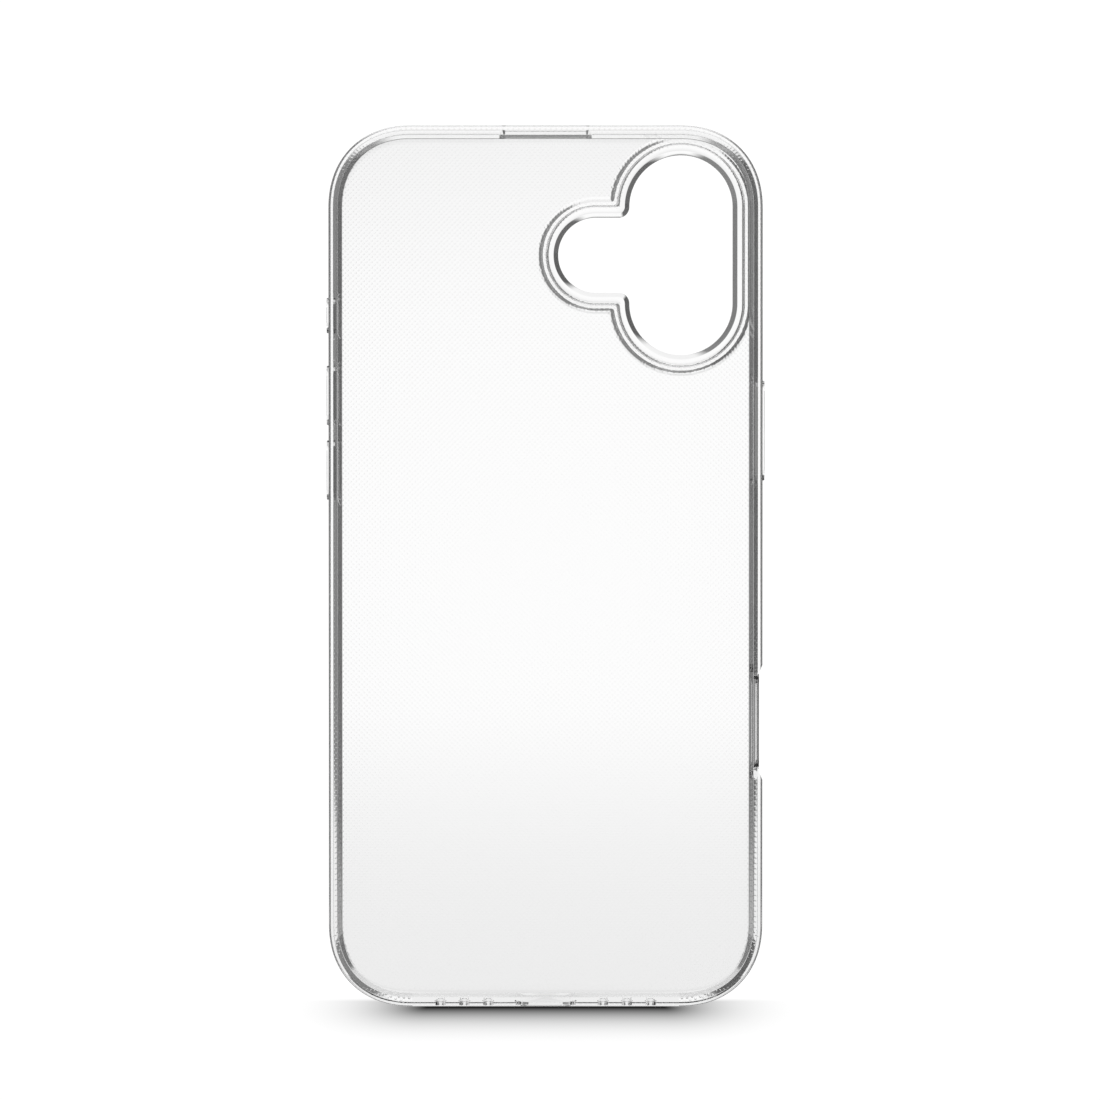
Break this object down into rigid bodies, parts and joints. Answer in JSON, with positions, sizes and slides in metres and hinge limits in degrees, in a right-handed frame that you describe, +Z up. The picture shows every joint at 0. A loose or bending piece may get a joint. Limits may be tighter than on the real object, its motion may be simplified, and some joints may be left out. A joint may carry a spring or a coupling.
{
  "type": "phone case",
  "caption": "Clear flexible phone case with a dotted back panel, raised camera guard, pressing side button covers, a finger scoop and slots along its bottom wall.",
  "frame": {"origin": "under the middle of the case's bottom edge, with the case drawn upright", "axes": "+Z up along the case's height, +X to the right seen from the open side, +Y towards the back; the open side faces -Y"},
  "size_m": [0.0816, 0.012, 0.1637],
  "materials": {
    "clear_soft": "gloss",
    "clear_back": "gloss",
    "clear_button": "gloss",
    "clear_web": "gloss"
  },
  "bodies": {
    "case": {"soft_frame": "clear_soft", "back_panel": "clear_back", "camera_guard": "clear_soft", "action_web": "clear_web", "volume_web": "clear_web", "power_web": "clear_web"},
    "action": {"action_button": "clear_button"},
    "volume_up": {"volume_up_button": "clear_button"},
    "volume_down": {"volume_down_button": "clear_button"},
    "power": {"power_button": "clear_button"}
  },
  "joints": [
    {"name": "action_press", "type": "slide", "parent": "case", "child": "action", "axis": [1, 0, 0], "range_m": [0, 0.0003], "stiffness_N_per_m": 400},
    {"name": "volume_up_press", "type": "slide", "parent": "case", "child": "volume_up", "axis": [1, 0, 0], "range_m": [0, 0.0003], "stiffness_N_per_m": 400},
    {"name": "volume_down_press", "type": "slide", "parent": "case", "child": "volume_down", "axis": [1, 0, 0], "range_m": [0, 0.0003], "stiffness_N_per_m": 400},
    {"name": "power_press", "type": "slide", "parent": "case", "child": "power", "axis": [-1, 0, 0], "range_m": [0, 0.0003], "stiffness_N_per_m": 400}
  ]
}
